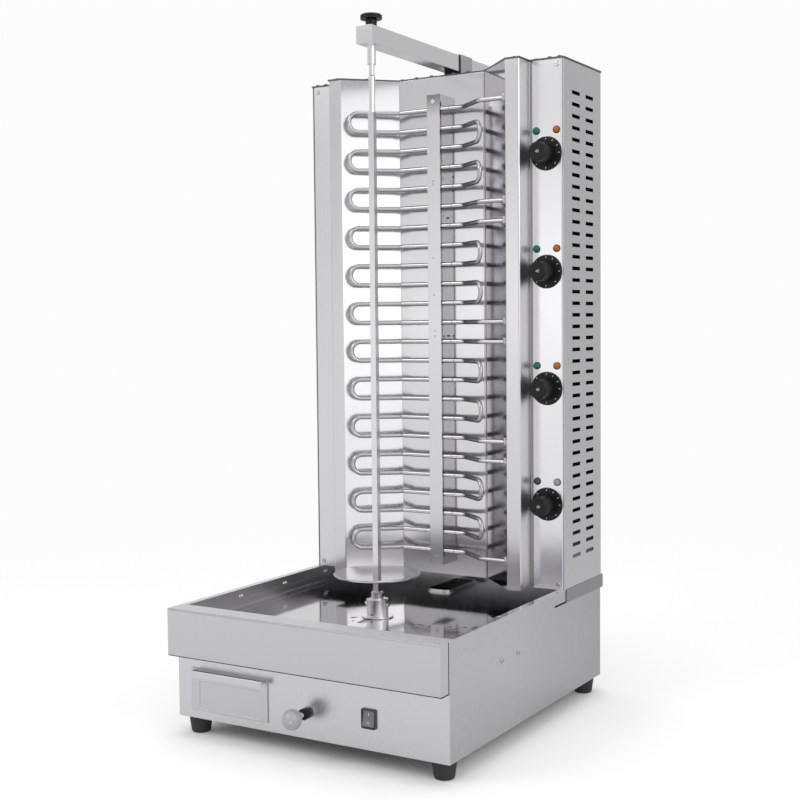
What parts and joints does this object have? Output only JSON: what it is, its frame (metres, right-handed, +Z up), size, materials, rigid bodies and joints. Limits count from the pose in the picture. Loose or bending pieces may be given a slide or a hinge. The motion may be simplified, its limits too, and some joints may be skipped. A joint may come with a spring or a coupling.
{
  "type": "electric skewer grill",
  "caption": "Vertical electric grill: slotted tower with serpentine heaters, mirror reflector, turning spit on a sliding carriage, drip tray and grease drawer.",
  "frame": {"origin": "centre of the bounding box in X and Y, at the underside of the feet", "axes": "+Z up along the tower, -Y towards the front with the drawer and the ball knob, +X to the side with the control knobs"},
  "size_m": [0.5164, 0.663, 1.1843],
  "materials": {
    "satin_steel": "satin brushed",
    "mirror_steel": "mirror polished",
    "plain_steel": "mill",
    "roof_steel": "satin brushed, darkened",
    "bright_steel": "turned bright",
    "dark_screws": "domed heads",
    "element_sheath": "heat-toned tube",
    "black_plastic": "fine grain",
    "rubber": "matte",
    "ceramic": "matte insulating body",
    "green_lens": "translucent lens",
    "amber_lens": "translucent lens",
    "grey_plastic": "smoked",
    "ball_grey": "smooth",
    "cast_housing": "cast",
    "motor_black": "black paint"
  },
  "bodies": {
    "frame": {"base_shell": "satin_steel", "base_bottom": "plain_steel", "front_panel": "satin_steel", "apron": "satin_steel", "drip_tray": "mirror_steel", "drain_collar": "mirror_steel", "drain_chute": "plain_steel", "drawer_guides": "plain_steel", "carriage_rails": "plain_steel", "rod_bush": "black_plastic", "switch_bezel": "black_plastic", "feet": "rubber", "cable_gland": "black_plastic", "terminal_block": "ceramic", "tower_side_right": "satin_steel", "tower_side_left": "satin_steel", "control_panel": "satin_steel", "plain_panel": "satin_steel", "rear_panel": "satin_steel", "roof": "roof_steel", "joint_band": "satin_steel", "reflector_back": "mirror_steel", "reflector_right": "mirror_steel", "reflector_left": "mirror_steel", "heating_element_1": "element_sheath", "heating_element_2": "element_sheath", "heating_element_3": "element_sheath", "heating_element_4": "element_sheath", "element_collars": "bright_steel", "element_channel": "mirror_steel", "element_strip": "mirror_steel", "regulators": "ceramic", "lamps_green": "green_lens", "lamps_amber": "amber_lens", "arm_bracket": "plain_steel", "arm_liner": "black_plastic", "roof_screws": "dark_screws", "panel_screws": "bright_steel"},
    "drawer": {"drawer_box": "plain_steel", "drawer_front": "satin_steel"},
    "carriage_unit": {"ball_knob": "ball_grey", "adjusting_rod": "bright_steel", "carriage": "plain_steel", "slot_shield": "plain_steel", "gearbox": "cast_housing", "motor": "motor_black"},
    "spit": {"drive_shaft": "bright_steel", "drive_cup": "mirror_steel", "spit_foot": "mirror_steel", "cross_pin": "bright_steel", "spit_rod": "bright_steel", "meat_disc": "mirror_steel"},
    "arm_unit": {"arm": "bright_steel", "pin_sleeve": "mirror_steel"},
    "top_pin_unit": {"top_pin": "black_plastic"},
    "rocker_unit": {"rocker": "grey_plastic"},
    "knob_unit_1": {"knob_1": "black_plastic"},
    "knob_unit_2": {"knob_2": "black_plastic"},
    "knob_unit_3": {"knob_3": "black_plastic"},
    "knob_unit_4": {"knob_4": "black_plastic"}
  },
  "joints": [
    {"name": "drawer_slide", "type": "slide", "parent": "frame", "child": "drawer", "axis": [0, -1, 0], "range_m": [0, 0.35]},
    {"name": "carriage_slide", "type": "slide", "parent": "frame", "child": "carriage_unit", "axis": [0, 1, 0], "range_m": [-0.05, 0.012]},
    {"name": "arm_slide", "type": "slide", "parent": "frame", "child": "arm_unit", "axis": [0, 1, 0], "range_m": [-0.05, 0.012]},
    {"name": "spit_spin", "type": "hinge", "parent": "carriage_unit", "child": "spit", "pos_m": [0, -0.0655, 0.202], "axis": [0, 0, 1], "continuous": true},
    {"name": "top_pin_lift", "type": "slide", "parent": "arm_unit", "child": "top_pin_unit", "axis": [0, 0, 1], "range_m": [0, 0.03]},
    {"name": "rocker_tilt", "type": "hinge", "parent": "frame", "child": "rocker_unit", "pos_m": [0.117, -0.2775, 0.079], "axis": [1, 0, 0], "range_deg": [0, 16]},
    {"name": "knob_turn_1", "type": "hinge", "parent": "frame", "child": "knob_unit_1", "pos_m": [0.2245, 0.1322, 0.9616], "axis": [0, 1, 0], "range_deg": [0, 270]},
    {"name": "knob_turn_2", "type": "hinge", "parent": "frame", "child": "knob_unit_2", "pos_m": [0.2245, 0.1322, 0.7616], "axis": [0, 1, 0], "range_deg": [0, 270]},
    {"name": "knob_turn_3", "type": "hinge", "parent": "frame", "child": "knob_unit_3", "pos_m": [0.2245, 0.1322, 0.5616], "axis": [0, 1, 0], "range_deg": [0, 270]},
    {"name": "knob_turn_4", "type": "hinge", "parent": "frame", "child": "knob_unit_4", "pos_m": [0.2245, 0.1322, 0.3616], "axis": [0, 1, 0], "range_deg": [0, 270]}
  ],
  "couplings": [
    {"joint": "arm_slide", "follows": "carriage_slide", "ratio": 1}
  ]
}
